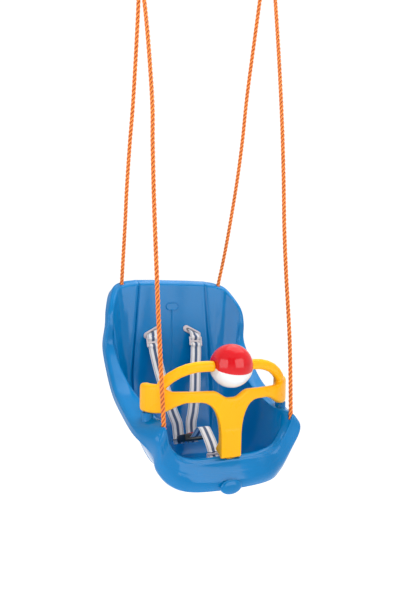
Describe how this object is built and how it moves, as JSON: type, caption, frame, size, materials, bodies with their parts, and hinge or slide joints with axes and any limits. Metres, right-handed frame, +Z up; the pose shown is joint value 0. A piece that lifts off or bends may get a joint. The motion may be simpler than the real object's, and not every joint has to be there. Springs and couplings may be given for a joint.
{
  "type": "toddler bucket swing",
  "caption": "Moulded high-back bucket seat hung on ropes from steel rings, with a lift-off T guard that carries a spinning ball, and a webbing harness with a push-button buckle.",
  "frame": {"origin": "midway between the two hanging rings, on the line through the lowest point of both ring wires", "axes": "+Z up, the seat faces -Y, +X is towards the left hand of a seated child"},
  "size_m": [0.3422, 0.341, 1.1435],
  "materials": {
    "seat_blue": "gloss",
    "guard_yellow": "gloss",
    "ball_red": "gloss",
    "ball_white": "gloss",
    "trim_grey": "satin",
    "buckle_black": "satin",
    "button_red": "gloss",
    "latch_blue": "gloss",
    "steel": "satin",
    "rope_orange": "matte",
    "webbing": "matte"
  },
  "bodies": {
    "hangers": {"hanger_ring_left": "steel", "hanger_ring_right": "steel"},
    "swing": {"buckle_body": "buckle_black", "buckle_spring": "steel", "crotch_adjuster": "trim_grey", "crotch_anchor": "trim_grey", "crotch_strap": "webbing", "ferrule_front_left": "buckle_black", "ferrule_front_right": "buckle_black", "ferrule_rear_left": "buckle_black", "ferrule_rear_right": "buckle_black", "knot_front_left": "rope_orange", "knot_front_right": "rope_orange", "knot_rear_left": "rope_orange", "knot_rear_right": "rope_orange", "latch_spring": "steel", "rope_front_left": "rope_orange", "rope_front_right": "rope_orange", "rope_rear_left": "rope_orange", "rope_rear_right": "rope_orange", "seat_shell": "seat_blue", "shoulder_strap_left": "webbing", "shoulder_strap_right": "webbing", "slot_bezel_left": "trim_grey", "slot_bezel_right": "trim_grey", "strap_adjuster_left": "trim_grey", "strap_adjuster_right": "trim_grey", "strap_anchor_left": "trim_grey", "strap_anchor_right": "trim_grey"},
    "guard": {"guard_bar": "guard_yellow", "ball_axle": "steel"},
    "ball": {"ball_upper_shell": "ball_red", "ball_lower_shell": "ball_white"},
    "latch": {"latch_button": "latch_blue"},
    "buckle_release": {"buckle_button": "button_red"},
    "tongue_left": {"buckle_tongue_left": "steel"},
    "tongue_right": {"buckle_tongue_right": "steel"}
  },
  "joints": [
    {"name": "swing_pivot", "type": "hinge", "parent": "hangers", "child": "swing", "pos_m": [0, 0, 0], "axis": [1, 0, 0], "range_deg": [-45, 45]},
    {"name": "guard_lift", "type": "slide", "parent": "swing", "child": "guard", "axis": [0, 0, 1], "range_m": [0, 0.09]},
    {"name": "ball_spin", "type": "hinge", "parent": "guard", "child": "ball", "pos_m": [0, -0.1257, -0.8565], "axis": [1, 0, 0], "continuous": true},
    {"name": "latch_press", "type": "slide", "parent": "swing", "child": "latch", "axis": [0, 1, 0], "range_m": [0, 0.0025], "stiffness_N_per_m": 400, "springref_m": -0.002, "deforming": ["latch_spring"]},
    {"name": "buckle_press", "type": "slide", "parent": "swing", "child": "buckle_release", "axis": [0, -0.309, -0.9511], "range_m": [0, 0.003], "stiffness_N_per_m": 300, "springref_m": -0.002, "deforming": ["buckle_spring"]},
    {"name": "tongue_left_pull", "type": "slide", "parent": "swing", "child": "tongue_left", "axis": [0, 0.9511, -0.309], "range_m": [0, 0.02], "deforming": ["shoulder_strap_left"]},
    {"name": "tongue_right_pull", "type": "slide", "parent": "swing", "child": "tongue_right", "axis": [0, 0.9511, -0.309], "range_m": [0, 0.02], "deforming": ["shoulder_strap_right"]}
  ]
}
